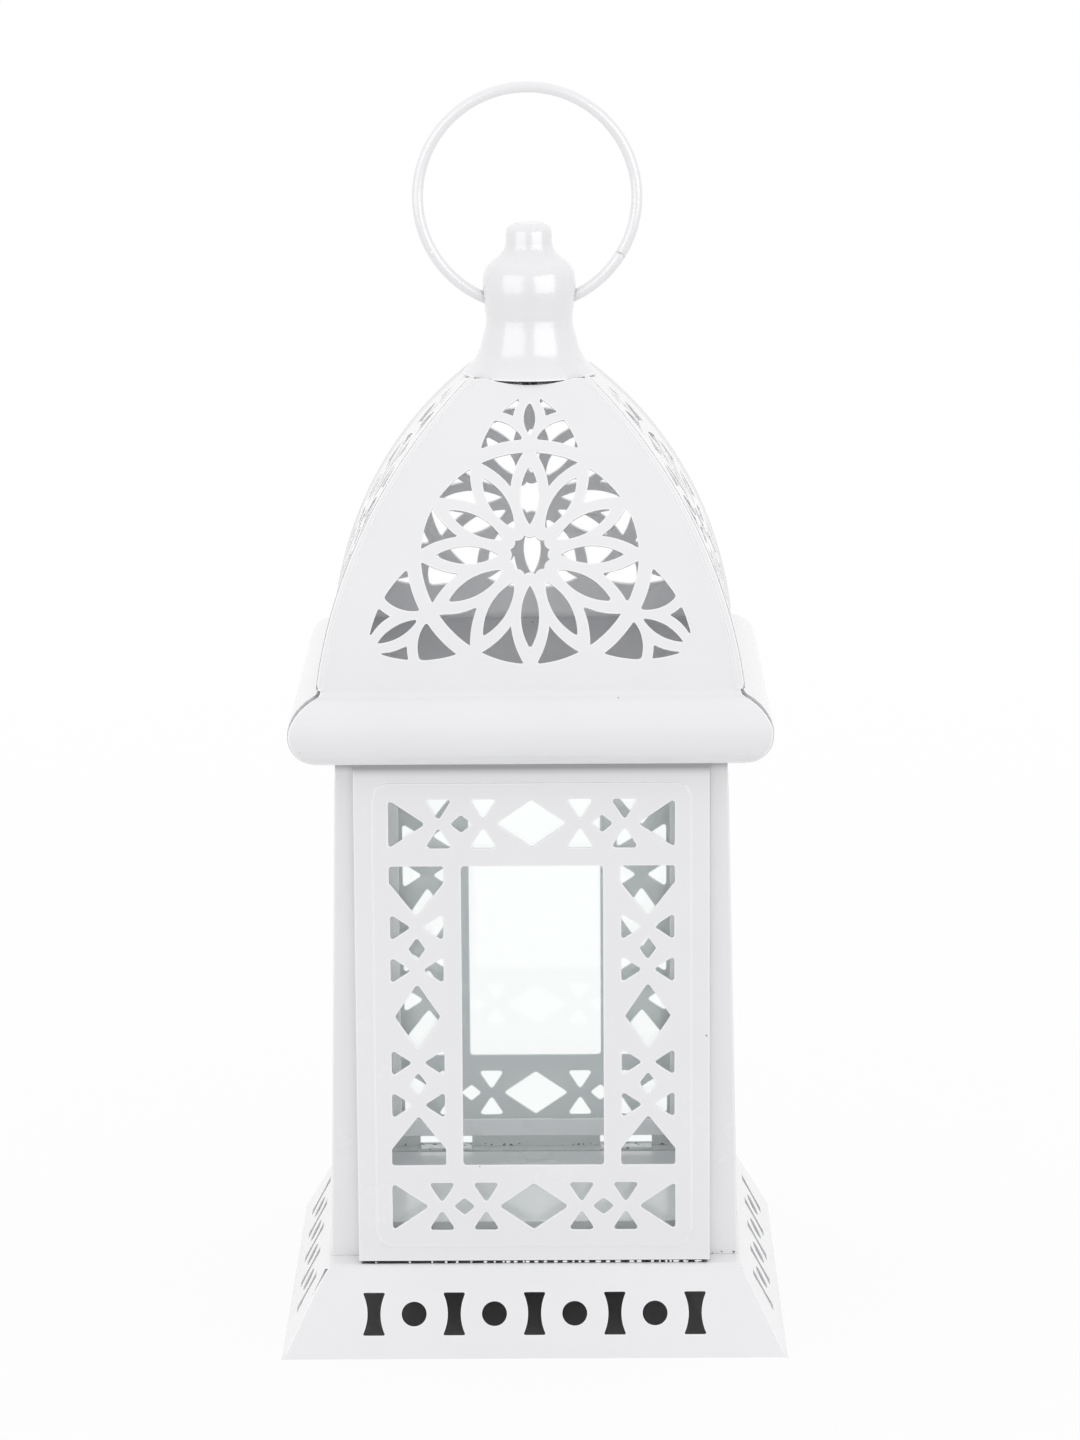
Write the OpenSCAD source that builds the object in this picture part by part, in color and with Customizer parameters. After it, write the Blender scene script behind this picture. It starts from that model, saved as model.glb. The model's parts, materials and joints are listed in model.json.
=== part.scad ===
// Candle lantern of pierced sheet metal: a sloping plinth, four glazed lattice sides,
// a curved square roof with a rosette on each face, a spun finial and a ring handle.
// The side towards -Y is a door. The origin is the middle of the footprint, on the table.

/* [Sheet and glass] */
// Thickness of the lattice, door and frame sheet
sheet_t = 0.5; // [0.4:0.05:0.6]
// Thickness of the plinth, roof and finial sheet
shell_t = 0.6; // [0.5:0.05:0.8]
// Thickness of the panes
glass_t = 1.4; // [1:0.1:1.5]
// Gap between pieces that move past each other
run_gap = 0.5; // [0.4:0.05:0.6]

/* [Plinth] */
// Width of the plinth on the table
base_w = 105; // [100:1:116]
// Width of a slope, seen from above
slope_run = 9.2; // [8:0.1:10]
// Height of the plinth's upper face
base_h = 17.4; // [15:0.2:24]
// Radius of the fold from slope to upper face
fold_r = 2; // [1:0.1:2.5]
// Width of the hem turned in under the slopes
hem_w = 3; // [2:0.2:5]
// Distance from one slot to the next along a slope
slot_pitch = 16.7; // [16:0.1:17.5]
// Diameter of the round holes between the slots
base_hole_d = 5.2; // [4:0.1:6]
// Distance of the holes' middles from the foot, up the slope
slot_at = 9.4; // [8.5:0.1:10]
// Length of a waisted slot, up the slope
slot_l = 9; // [7:0.2:10]
// Width of a waisted slot at its ends
slot_w = 4.8; // [4:0.1:6]
// Width of a waisted slot at its middle
slot_waist = 2.7; // [1.6:0.1:3.6]
// Height of the open seam at two corners
seam_l = 4.8; // [3:0.2:6]
// Width of the open seam at its upper end
seam_w = 0.8; // [0.5:0.1:1.2]

/* [Walls] */
// Distance from a wall's foot to the edge of the plinth's upper face
foot_in = 0.8; // [0.5:0.1:1.4]
// How far a wall's face leans in, from foot to head
wall_lean = 2.2; // [1:0.1:2.5]
// Distance from a wall's side to the corner where the faces would meet at the foot
corner_in = 5.8; // [5:0.1:6.2]
// Height of the walls
wall_h = 107.3; // [106:0.5:125]
// Gap under the door
door_gap = 0.6; // [0.4:0.1:1]
// Width of the raised field round the cut-outs
field_edge = 3.4; // [2.6:0.1:4.4]
// How far the field is raised
field_t = 0.25; // [0.1:0.05:0.3]
// Corner radius of the raised field
field_r = 3; // [1:0.5:6]

/* [Lattice] */
// Distance from the outermost cut-outs to a wall's side
lattice_side = 7.3; // [6.7:0.1:7.9]
// Distance from the lowest cut-outs to the plinth
lattice_foot = 7.3; // [6.5:0.1:8]
// Distance from the highest cut-outs to a wall's head
lattice_head = 8.4; // [7.6:0.1:9]
// Width of the cut-outs in the top and bottom rows
row_w = 10.2; // [9:0.1:11]
// Width of the cut-outs in the side columns
column_w = 11.2; // [10:0.1:12]
// Metal left between the window and the side columns
web_w = 3.6; // [3:0.1:5]
// Metal left between the window and the rows
row_web = 3.8; // [3:0.1:5]
// Corner radius of the small cut-outs
cut_r = 0.45; // [0.2:0.05:0.5]
// Corner radius of the window
window_r = 0.6; // [0.3:0.1:3]

/* [Glazing] */
// Distance from a frame's opening to a wall's side
frame_side = 6.7; // [5.7:0.1:7.2]
// Distance from a frame to the plinth
frame_foot = 4; // [3.6:0.1:4.6]
// Distance from a frame to a wall's head
frame_head = 4.1; // [3.6:0.1:4.6]
// Width of the top and bottom rails of the frames
rail_w = 3.8; // [3:0.1:4.2]
// Distance from a pane to a wall's side
pane_side = 3.3; // [3.1:0.1:4.6]
// Gap between a pane and its frame
pane_gap = 0.3; // [0.2:0.05:0.4]
// Width of a foot lug and of its slot
lug_w = 11.6; // [8:0.1:14]
// Distance of a lug's middle from the middle of its wall
lug_x = 20.2; // [16:0.1:24]
// Length of a lug on the plinth
lug_l = 3; // [2:0.1:3.2]
// Height of the slot that the lug leaves
lug_slot_h = 1.5; // [1:0.1:2]
// Diameter of the door catch's wire
catch_d = 0.8; // [0.6:0.1:0.9]
// Length of the door catch
catch_l = 20; // [16:1:26]

/* [Door hinge] */
// Diameter of the hinge pins
pin_d = 1.5; // [1.2:0.1:1.6]
// Radial play of the pins in the door
pin_play = 0.1; // [0.05:0.05:0.2]
// Length of a pin inside the door
pin_l = 2.4; // [1.5:0.1:2.6]
// Distance of a pin's middle from the door's side
pin_side = 1.5; // [1.4:0.05:1.7]
// Distance of a pin's middle from the door's back
pin_depth = 1.6; // [1.5:0.05:1.7]

/* [Roof] */
// Radius of the roof's curve, seen from the side
roof_r = 95.2; // [92:0.2:100]
// How far the curve's lower end stands out from the walls' heads
roof_out = 3.05; // [2.7:0.05:4]
// Width of the roof at its top
roof_top_w = 24.8; // [24:0.1:25.4]
// Height of the curved part of the roof
roof_rise = 59.25; // [58:0.05:61]
// Radius of the rounded eave
eave_r = 7.4; // [6.8:0.05:8]
// How far the eave's round lies behind the end of the curve
eave_in = 1.4; // [1:0.1:1.6]
// Radius of the hollow between curve and eave
hollow_r = 1.6; // [1:0.1:2.4]
// Gap between a wall's head and the eave
eave_gap = 1; // [0.6:0.1:1.2]
// How far the edge ribs stand out along the hips
rib_t = 0.35; // [0.2:0.05:0.6]
// Width of the edge ribs along the hips
rib_w = 0.8; // [0.5:0.1:1.5]
// Gap between two roof panels along a hip
hip_gap = 0.2; // [0.1:0.05:0.3]
// Widest gap between two panels at the corner of the eave
mitre_gap = 1.4; // [0.8:0.1:1.8]
// Width of the flat frame inside the eave
eave_frame_w = 8; // [7:0.2:9]
// Thickness of the plate inside the roof's top
cap_t = 0.8; // [0.5:0.1:1]
// Distance from the plate up to the roof's top
cap_drop = 3; // [2:0.2:4]

/* [Rosette] */
// Angle at which the rosette leans back
rosette_lean = 23.66; // [23:0.02:25]
// Inner radius of the big ring
ring_r = 22.2; // [21.8:0.1:22.6]
// Width of the big ring
ring_band = 2.95; // [2.4:0.05:3.2]
// Width of the bars round the petals
bar_w = 2.15; // [1.9:0.05:2.3]
// Width of the metal between two curved triangles at the big ring
neck_w = 2.5; // [1.8:0.1:2.8]
// Length of a petal
petal_l = 12.9; // [11:0.1:13.2]
// Width of a petal
petal_w = 3.7; // [3:0.1:4]
// Radius of the circle through the petals' middles
petal_at = 12.75; // [12.5:0.05:13]
// Radius of the waved hole in the middle, at its points
eye_r = 4.25; // [3.9:0.05:4.6]
// Radius of the waves round the middle hole, one at each petal
wave_r = 1.6; // [1.4:0.05:2]
// Number of petals
petals = 12; // [12:1:12]
// Width of the leaf in a corner motif
leaf_w = 2.4; // [1.8:0.1:3]
// Length of the leaf in the two lower motifs
leaf_l = 9.6; // [8:0.1:10]
// Distance of that leaf's middle from the rosette's middle
leaf_at = 31.15; // [30.8:0.05:31.4]
// Radius of the arcs that bound the two lower motifs
arch_r = 25.3; // [25:0.1:25.8]
// Length of the leaf in the upper motif
top_leaf_l = 7.7; // [7:0.1:8.2]
// Distance of that leaf's middle from the rosette's middle
top_leaf_at = 30; // [29.6:0.1:30.4]
// Radius of the arcs that bound the upper motif
top_arch_r = 20.4; // [20:0.1:20.8]

/* [Finial and handle] */
// Radius of the finial's rim
rim_r = 13.95; // [13.4:0.05:15]
// Height of the finial
finial_h = 31.4; // [30:0.1:34]
// Diameter of the two holes for the handle
wire_hole_d = 3.6; // [3.6:0.1:4]
// Diameter of the handle's wire
wire_d = 2.35; // [2:0.05:2.5]
// Radius of the handle, to the middle of its wire
handle_r = 22.8; // [22:0.1:30]
// How far the handle hangs to the left in the play of its holes
handle_slack = 0.3; // [0:0.1:0.3]
// Width of the butt joint in the handle
butt_gap = 0.15; // [0.1:0.05:0.4]
// Width of the bar inside the finial
bar_inside_w = 6; // [5:0.5:7]
// Thread diameter of the screw that holds the finial
screw_d = 3; // [2:0.5:4]

/* [Hidden] */
$fn = 64;
// One overrun for every cut
over = 1;
white = "#f0f0f1";
glass_tint = "#d8e8e4";
steel = "#b8bcc0";

// Plinth
base_top_w = base_w - 2 * slope_run;
slope_angle = atan(base_h / slope_run);
fold_back = fold_r * tan(slope_angle / 2);
slot_side = (slot_w - slot_waist) / 2;
slot_arc_r = (slot_l * slot_l / 4 + slot_side * slot_side) / (2 * slot_side);

// Walls
foot_d = base_top_w - 2 * foot_in;
head_d = foot_d - 2 * wall_lean;
wall_w = foot_d - 2 * corner_in;
half_w = wall_w / 2;
wall_top = base_h + wall_h;
flare = atan(wall_lean / wall_h);
lattice_w = wall_w - 2 * lattice_side;
lattice_h = wall_h - lattice_foot - lattice_head;
lattice_z = lattice_foot + lattice_h / 2;
field_w = lattice_w + 2 * field_edge;
field_h = lattice_h + 2 * field_edge;
window_w = lattice_w - 2 * column_w - 2 * web_w;
window_h = lattice_h - 2 * row_w - 2 * row_web;
door_w = wall_w - run_gap / 2;
door_back = half_w + run_gap;
door_foot = base_h + door_gap;
door_top = wall_top - shell_t - run_gap;
lug_slot_z = sheet_t + door_gap / 2;

// Half length shares of a row: middle diamond, bow ties, their half width, small diamonds, their half width
row_shares = [0.245, 0.338, 0.095, 0.492, 0.077, 0.65, 0.743, 1];
// The same for a column, then the shoulder of its end piece
column_shares = [0.22, 0.31, 0.0885, 0.4515, 0.0785, 0.595, 0.667, 0.891];
// Half width shares: middle diamond, bow tie tips, bow tie ends, small diamonds
row_cross_shares = [0.97, 0.15, 1, 0.365];
column_cross_shares = [0.84, 0.21, 0.975, 0.31];
corner_steps = 2;

// Glazing
frame_open_w = wall_w - 2 * frame_side;
frame_h = wall_h - frame_foot - frame_head;
frame_open_h = frame_h - 2 * rail_w;
frame_z = frame_foot + frame_h / 2;
pane_w = wall_w - 2 * pane_side;
pane_h = frame_z + frame_h / 2;
door_pane_foot = door_foot + sheet_t;

// Hinge
pin_x = -door_w / 2 + pin_side;
pin_y = -door_back - pin_depth;

// Roof, as distances from the middle and heights of its section
roof_w = head_d + 2 * roof_out;
roof_run = (roof_w - roof_top_w) / 2;
roof_foot_angle = atan(roof_run / roof_rise) - asin(norm([roof_run, roof_rise]) / (2 * roof_r));
eave_mid = [roof_w / 2 - eave_in, wall_top - shell_t + eave_r];
hollow_x = roof_w / 2 + hollow_r * cos(roof_foot_angle);
hollow_z = eave_mid[1] + sqrt(pow(eave_r + hollow_r, 2) - pow(hollow_x - eave_mid[0], 2));
hollow_mid = [hollow_x, hollow_z];
hollow_angle = atan2(hollow_z - eave_mid[1], hollow_x - eave_mid[0]);
roof_mid = hollow_mid - (roof_r + hollow_r) * [cos(roof_foot_angle), sin(roof_foot_angle)];
curve_foot_z = roof_mid[1] + roof_r * sin(roof_foot_angle);
roof_top = curve_foot_z + roof_rise;
top_angle = asin((roof_top - roof_mid[1]) / roof_r);
top_half = roof_top_w / 2;
eave_steps = 16;
hollow_steps = 4;
roof_steps = 28;

// Vents scooped out of the panels' top edges, and the plate below them
vent_half = 0.642 * rim_r;
vent_scoop = 0.0824 * rim_r;
scoop_r = (pow(vent_half, 2) + pow(vent_scoop, 2)) / (2 * vent_scoop);
cap_z = roof_top - cap_drop - cap_t;
cap_angle = asin((cap_z + cap_t - roof_mid[1]) / (roof_r - shell_t));
cap_half = roof_mid[0] + (roof_r - shell_t) * cos(cap_angle) - hip_gap / 10;

// Rosette, on a plane that leans back with the roof
rosette_y = roof_mid[0] + roof_r * cos(rosette_lean);
rosette_z = roof_mid[1] + roof_r * sin(rosette_lean);
rosette_deep = pow(leaf_at + leaf_l, 2) / (2 * roof_r) + shell_t + over;
hub_r = petal_at;
half_turn = 180 / petals;
eye_mid = eye_r * cos(half_turn) + sqrt(pow(wave_r, 2) - pow(eye_r * sin(half_turn), 2));
// Middles of a motif's arcs, then middle and radius of its fans, as shares of the arcs' radius
arch_shares = [0.581, 0.696];
fan_shares = [0.344, 0.889, 0.308];
top_arch_shares = [0.48, 0.892];
top_fan_shares = [0.392, 1.098, 0.353];

// Finial outline: shares of the rim's radius and of the finial's height
finial_shares = [
    [1, 0], [0.995, 0.014], [0.846, 0.081], [0.749, 0.162], [0.7, 0.242], [0.649, 0.336], [0.662, 0.42],
    [0.685, 0.506], [0.699, 0.576], [0.681, 0.662], [0.609, 0.723], [0.437, 0.788], [0.354, 0.847],
    [0.345, 0.92], [0.32, 0.972], [0.208, 1]
];
finial_steps = 3;
rim_z = roof_top - seat(8);
wire_hole_share = [0.685, 0.506];
pivot_z = rim_z + wire_hole_share[1] * finial_h;
pivot_r = wire_hole_share[0] * rim_r - shell_t / 2;
handle_z = pivot_z + sqrt(pow(handle_r, 2) - pow(pivot_r, 2));
butt_angle = 31;
bar_t = cap_t;
bar_l = 2 * (rim_r - shell_t) - 2 * bar_t;
screw_play = screw_d / 30;
screw_head_d = 1.9 * screw_d;
screw_head_t = 0.55 * screw_d;
nut_w = 1.83 * screw_d;
nut_t = 0.8 * screw_d;

// Unit vector
function unit(v) = v / norm(v);

// Points of the arc that rounds corner b between a and c
function corner_arc(a, b, c, r) =
    let (
        u = unit(a - b),
        w = unit(c - b),
        half = acos(u * w) / 2,
        mid = b + unit(u + w) * r / sin(half),
        start = b + u * r / tan(half) - mid,
        end = b + w * r / tan(half) - mid,
        from = atan2(start[1], start[0]),
        turn = (atan2(end[1], end[0]) - from + 540) % 360 - 180
    )
    arc(mid, r, from, from + turn, corner_steps);

// Outline with every corner rounded
function rounded(p, r) =
    [for (i = [0 : len(p) - 1])
        each corner_arc(p[(i + len(p) - 1) % len(p)], p[i], p[(i + 1) % len(p)], r)];

// Points on an arc round mid, from one angle to another
function arc(mid, r, from, to, steps) =
    [for (i = [0 : steps])
        mid + r * [cos(from + (to - from) * i / steps), sin(from + (to - from) * i / steps)]];

// A line of points moved to its left by t
function moved(p, t) =
    [for (i = [0 : len(p) - 1])
        let (along = unit(p[min(i + 1, len(p) - 1)] - p[max(i - 1, 0)]))
        p[i] + t * [-along[1], along[0]]];

// A line of points in the other order
function reversed(p) = [for (i = [len(p) - 1 : -1 : 0]) p[i]];

// Point at share t of the way from b to c, on a smooth curve that a and d lead
function between(a, b, c, d, t) =
    (2 * b + (c - a) * t + (2 * a - 5 * b + 4 * c - d) * t * t + (3 * b - a - 3 * c + d) * t * t * t) / 2;

// Smooth curve through points
function smooth(p, steps) =
    let (last = len(p) - 1)
    [for (i = [0 : last - 1])
        for (k = [0 : steps - 1])
            between(p[max(i - 1, 0)], p[i], p[i + 1], p[min(i + 2, last)], k / steps),
        p[last]];

// Four-cornered outline that stands on one tip
function diamond(mid, half) =
    [mid + [half[0], 0], mid + [0, half[1]], mid - [half[0], 0], mid - [0, half[1]]];

// Outline of one half of a bow tie
function tie_half(at, half, tip, end) = [[at - half, end], [at + half, end], [at, tip]];

// Outline of the piece at the end of a row, with or without a shoulder
function end_piece(tip, shoulder, l, w) =
    shoulder < l
        ? [[tip, 0], [shoulder, w], [l, w], [l, -w], [shoulder, -w]]
        : [[tip, 0], [l, w], [l, -w]];

// Rectangle round the middle, its corners rounded
function rounded_box(w, h, r) =
    rounded([[w, h] / 2, [-w, h] / 2, [-w, -h] / 2, [w, -h] / 2], r);

// Distance of a wall's outer face from the middle, at a height
function face_at(z) = (foot_d - (foot_d - head_d) * (z - base_h) / wall_h) / 2;

// Depth of the rim's seat in the scoops, where it meets the panels' inner faces
function seat(steps) =
    steps == 0 ? 0 :
    let (inner = top_half - shell_t / cos(top_angle) + seat(steps - 1) * tan(top_angle))
    vent_scoop - scoop_r + sqrt(pow(scoop_r, 2) - pow(rim_r, 2) + pow(inner, 2));

// Runs a section drawn as Y and Z along X
module along_x(w) {
    rotate([90, 0, 90]) translate([0, 0, -w / 2]) linear_extrude(w) children();
}

// Turns something made for the front to another side
module on_side(turns) {
    rotate([0, 0, 90 * turns]) children();
}

// Copies something onto the other side of X = 0
module both_sides() {
    children();
    mirror([1, 0, 0]) children();
}

// Flat square ring on the level z
module square_ring(outer, inner, t, z) {
    translate([0, 0, z]) linear_extrude(t) difference() {
        square(outer, center = true);
        square(inner, center = true);
    }
}

// Outer section of the plinth
module plinth_outline() {
    corner = [base_top_w / 2, base_h];
    down = fold_back * [cos(slope_angle), -sin(slope_angle)];
    polygon([
        [-base_w / 2, 0],
        [base_w / 2, 0],
        corner + down,
        corner - [fold_back, 0],
        [fold_back, 0] + [-corner[0], corner[1]],
        [-corner[0] - down[0], corner[1] + down[1]]
    ]);
    for (side = [-1, 1])
        translate([side * (corner[0] - fold_back), corner[1] - fold_r]) circle(fold_r);
}

// Section of the room under the plinth
module plinth_room() {
    side = shell_t / sin(slope_angle);
    foot = base_w / 2 - side - shell_t / tan(slope_angle);
    head = base_w / 2 - side - (base_h - shell_t) / tan(slope_angle);
    polygon([[-foot, shell_t], [foot, shell_t], [head, base_h - shell_t], [-head, base_h - shell_t]]);
}

// Square body whose two pairs of sides have the same section
module four_sided(w) {
    intersection() {
        along_x(w) children();
        rotate([0, 0, 90]) along_x(w) children();
    }
}

// Slot with ends wider than its waist
module waisted_slot() {
    difference() {
        square([slot_w, slot_l], center = true);
        for (side = [-1, 1])
            translate([side * (slot_waist / 2 + slot_arc_r), 0]) circle(slot_arc_r);
    }
}

// Holes of one slope, round the middle of the slope's foot
module plinth_holes() {
    for (i = [-2 : 2])
        translate([i * slot_pitch, slot_at]) waisted_slot();
    for (i = [-1.5, -0.5, 0.5, 1.5])
        translate([i * slot_pitch, slot_at]) circle(d = base_hole_d);
}

module plinth() {
    hem_open = base_w - 2 * hem_w;
    seam_top = base_h - fold_r / 3;
    color(white) difference() {
        four_sided(base_w + over) plinth_outline();
        four_sided(base_w) plinth_room();
        translate([0, 0, -over]) linear_extrude(shell_t + 2 * over) square(hem_open, center = true);
        for (turns = [0 : 3])
            on_side(turns) translate([0, -base_w / 2, 0]) rotate([slope_angle, 0, 0])
                translate([0, 0, -shell_t - over]) linear_extrude(shell_t + 2 * over) plinth_holes();
        rotate([0, 0, -45]) rotate([90, 0, 0]) linear_extrude(2 * base_w, center = true)
            polygon([[-seam_w / 2, seam_top], [seam_w / 2, seam_top], [0, seam_top - seam_l]]);
    }
}

// Side view of a box panel, from z0 to z1, with its back open
module box_side(z0, z1, back, inset) {
    polygon([[inset - face_at(z0), z0], [inset - face_at(z1), z1], [-back, z1], [-back, z0]]);
}

// Puts a drawing on the front face, with the lattice's middle at its origin
module on_face() {
    z = base_h + lattice_z;
    translate([0, -face_at(z), z]) rotate([90 - flare, 0, 0]) children();
}

// Cut-outs of a row of half length l and half width w
module cut_row(l, w, along, across) {
    polygon(rounded(diamond([0, 0], [along[0] * l, across[0] * w]), cut_r));
    both_sides() {
        polygon(rounded(diamond([along[3] * l, 0], [along[4] * l, across[3] * w]), cut_r));
        polygon(rounded(end_piece(along[6] * l, along[7] * l, l, w), cut_r));
        for (at = [along[1], along[5]], up = [-1, 1])
            polygon(rounded(tie_half(at * l, along[2] * l, up * across[1] * w, up * across[2] * w), cut_r));
    }
}

// All the openings of one wall
module lattice_holes() {
    row_at = (lattice_h - row_w) / 2;
    column_at = (window_w + column_w) / 2 + web_w;
    polygon(rounded_box(window_w, window_h, window_r));
    for (side = [-1, 1]) {
        translate([0, side * row_at])
            cut_row(lattice_w / 2, row_w / 2, row_shares, row_cross_shares);
        translate([side * column_at, 0]) rotate(90)
            cut_row(window_h / 2, column_w / 2, column_shares, column_cross_shares);
    }
}

// Pierced and embossed box panel; a closed one has folds at its head and foot too
module box_panel(w, z0, z1, back, closed) {
    fold = closed ? sheet_t : -over;
    difference() {
        union() {
            difference() {
                along_x(w) box_side(z0, z1, back, 0);
                along_x(w - 2 * sheet_t) box_side(z0 + fold, z1 - fold, back - over, sheet_t);
            }
            on_face() translate([0, 0, -sheet_t / 2]) linear_extrude(sheet_t / 2 + field_t)
                polygon(rounded_box(field_w, field_h, field_r));
        }
        on_face() translate([0, 0, -sheet_t - over]) linear_extrude(over + field_t)
            polygon(rounded_box(field_w - 2 * sheet_t, field_h - 2 * sheet_t, field_r - sheet_t));
        on_face() translate([0, 0, -sheet_t - over]) linear_extrude(sheet_t + field_t + 2 * over)
            lattice_holes();
    }
}

// Fixed wall with two lugs on the plinth
module wall() {
    slot = [lug_w, sheet_t + 2 * over, lug_slot_h];
    lug = [lug_w, lug_l + sheet_t, sheet_t];
    difference() {
        box_panel(wall_w, base_h, wall_top, half_w, false);
        for (side = [-1, 1])
            translate([side * lug_x - lug_w / 2, -face_at(base_h) - over, base_h + lug_slot_z]) cube(slot);
    }
    for (side = [-1, 1])
        translate([side * lug_x - lug_w / 2, -face_at(base_h + sheet_t) + sheet_t / 2, base_h]) cube(lug);
}

module wall_left() color(white) on_side(-1) wall();

module wall_right() color(white) on_side(1) wall();

module wall_back() color(white) on_side(2) wall();

module door_panel() {
    color(white) difference() {
        box_panel(door_w, door_foot, door_top, door_back, true);
        translate([pin_x, pin_y, door_foot - over]) cylinder(r = pin_d / 2 + pin_play, h = wall_h);
    }
}

// Upright pane from z0, its inner face at a distance from the middle
module pane(at, z0) {
    color(glass_tint, 0.5) translate([-pane_w / 2, -at - glass_t, z0])
        cube([pane_w, glass_t, base_h + pane_h - z0]);
}

module glass_left() on_side(-1) pane(half_w + pane_gap, base_h);

module glass_right() on_side(1) pane(half_w + pane_gap, base_h);

module glass_back() on_side(2) pane(half_w + pane_gap, base_h);

module door_glass() pane(door_back + sheet_t + pane_gap / 2, door_pane_foot);

// Retaining frame behind a pane, its outer face at a distance from the middle
module retaining_frame(w, at) {
    color(white) translate([0, -at, base_h + frame_z]) rotate([-90, 0, 0]) linear_extrude(sheet_t)
        difference() {
            square([w, frame_h], center = true);
            square([frame_open_w, frame_open_h], center = true);
        }
}

module frame_left() on_side(-1) retaining_frame(wall_w - 2 * sheet_t, half_w);

module frame_right() on_side(1) retaining_frame(wall_w - 2 * sheet_t, half_w);

module frame_back() on_side(2) retaining_frame(wall_w, half_w);

module door_frame() retaining_frame(door_w - 2 * sheet_t, door_back + sheet_t);

// Spring wire along the top rail of the door's frame
module door_catch() {
    z = base_h + frame_z + frame_open_h / 2 + catch_d / 4;
    end = half_w - 2 * sheet_t;
    color(steel) translate([end - catch_l, catch_d / 2 - door_back, z]) rotate([0, 90, 0])
        cylinder(d = catch_d, h = catch_l);
}

// One pin in the plinth and one under the eave frame
module hinge_pins() {
    low = door_foot + sheet_t + pin_l - base_h;
    high = wall_top - door_top + sheet_t + pin_l;
    color(steel) {
        translate([pin_x, pin_y, base_h]) cylinder(d = pin_d, h = low);
        translate([pin_x, pin_y, wall_top - high]) cylinder(d = pin_d, h = high);
    }
}

module eave_frame() {
    outer = 2 * eave_mid[0];
    color(white) square_ring(outer, outer - 2 * eave_frame_w, shell_t, wall_top);
}

// Outer line of the roof's section, from the hem under the eave to above the top
eave_line = concat(
    [[head_d / 2 + eave_gap, eave_mid[1] - eave_r]],
    arc(eave_mid, eave_r, -90, hollow_angle, eave_steps),
    arc(hollow_mid, hollow_r, hollow_angle + 180, roof_foot_angle + 180, hollow_steps)
);
curve_line = arc(roof_mid, roof_r, roof_foot_angle, top_angle + 1, roof_steps);

// Section between a line of the roof and another at its side, on the side towards -Y
module roof_section(p, left, right) {
    difference() {
        mirror([1, 0]) polygon(concat(moved(p, left), reversed(moved(p, right))));
        translate([-roof_w, roof_top]) square([roof_w, roof_r]);
    }
}

// Plan of what lies on the front side of the two diagonals, kept off them by a gap
module front_wedge(gap) {
    polygon([[0, -gap], [-base_w, -base_w - gap], [base_w, -base_w - gap]]);
}

// Lens between two arcs, along Y: w wide at its middle, and neck wide at a distance l / 2 from it
module lens(l, w, neck) {
    r = (l * l + (w - neck) * (w - neck)) / (w - neck) / 4;
    intersection() {
        translate([r - w / 2, 0]) circle(r);
        translate([w / 2 - r, 0]) circle(r);
    }
}

// The petals, the curved triangles round them and the hole in the middle
module rosette_disc() {
    for (i = [0 : petals - 1])
        rotate(i * 360 / petals) translate([0, petal_at]) lens(petal_l, petal_w, 0);
    difference() {
        circle(ring_r);
        circle(hub_r);
        for (i = [0 : petals - 1])
            rotate(i * 360 / petals) translate([0, petal_at])
                lens(2 * (ring_r - petal_at), petal_w + 2 * bar_w, neck_w);
    }
    difference() {
        circle(eye_mid);
        for (i = [0 : petals - 1])
            rotate(i * 360 / petals) translate([0, eye_mid]) circle(wave_r);
    }
}

// Pointed arch round a corner motif, its tip upwards
module arch(r, shares) {
    intersection() {
        translate([-shares[0], shares[1]] * r) circle(r);
        translate([shares[0], shares[1]] * r) circle(r);
    }
}

// Corner motif outside the big ring: a leaf, two fans at its foot and two openings at its sides
module corner_motif(at, l, r, mids, fans) {
    fan_mid = [fans[0], fans[1]] * r;
    fan_r = fans[2] * r;
    translate([0, at]) lens(l, leaf_w, 0);
    both_sides() {
        difference() {
            intersection() {
                arch(r, mids);
                translate(fan_mid) circle(fan_r);
                translate([0, -base_w]) square(2 * base_w);
            }
            circle(ring_r + ring_band);
        }
        difference() {
            intersection() {
                arch(r, mids);
                translate([0, at - l / 2]) square(r);
            }
            translate(fan_mid) circle(fan_r + bar_w);
            translate([0, at]) lens(l, leaf_w + 2 * bar_w, 2 * bar_w);
            translate([-bar_w, at]) square([2 * bar_w, l]);
        }
    }
}

module rosette() {
    rosette_disc();
    corner_motif(top_leaf_at, top_leaf_l, top_arch_r, top_arch_shares, top_fan_shares);
    for (side = [-1, 1])
        rotate(side * 120) corner_motif(leaf_at, leaf_l, arch_r, arch_shares, fan_shares);
}

// One panel of the roof, for the front
module roof_panel() {
    rib = rib_w * sqrt(2);
    mitre_wide = hollow_z - hollow_r;
    difference() {
        union() {
            intersection() {
                along_x(base_w) roof_section(concat(eave_line, curve_line), 0, shell_t);
                linear_extrude(2 * roof_top) front_wedge(hip_gap / sqrt(2));
            }
            intersection() {
                along_x(base_w) roof_section(curve_line, -rib_t, shell_t / 2);
                linear_extrude(2 * roof_top) difference() {
                    front_wedge(hip_gap / sqrt(2));
                    front_wedge(hip_gap / sqrt(2) + rib);
                }
            }
        }
        translate([0, -rosette_y, rosette_z]) rotate([90 - rosette_lean, 0, 0])
            translate([0, 0, -rosette_deep]) linear_extrude(rosette_deep + over) rosette();
        translate([0, 0, roof_top - vent_scoop + scoop_r]) rotate([90, 0, 0])
            cylinder(r = scoop_r, h = roof_w);
        for (side = [-1, 1])
            rotate([0, 0, 45 * side]) rotate([90, 0, 0]) linear_extrude(2 * base_w)
                polygon([
                    [0, eave_mid[1]],
                    [mitre_gap / 2, mitre_wide],
                    [0, hollow_z + hollow_r],
                    [-mitre_gap / 2, mitre_wide]
                ]);
    }
}

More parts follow.
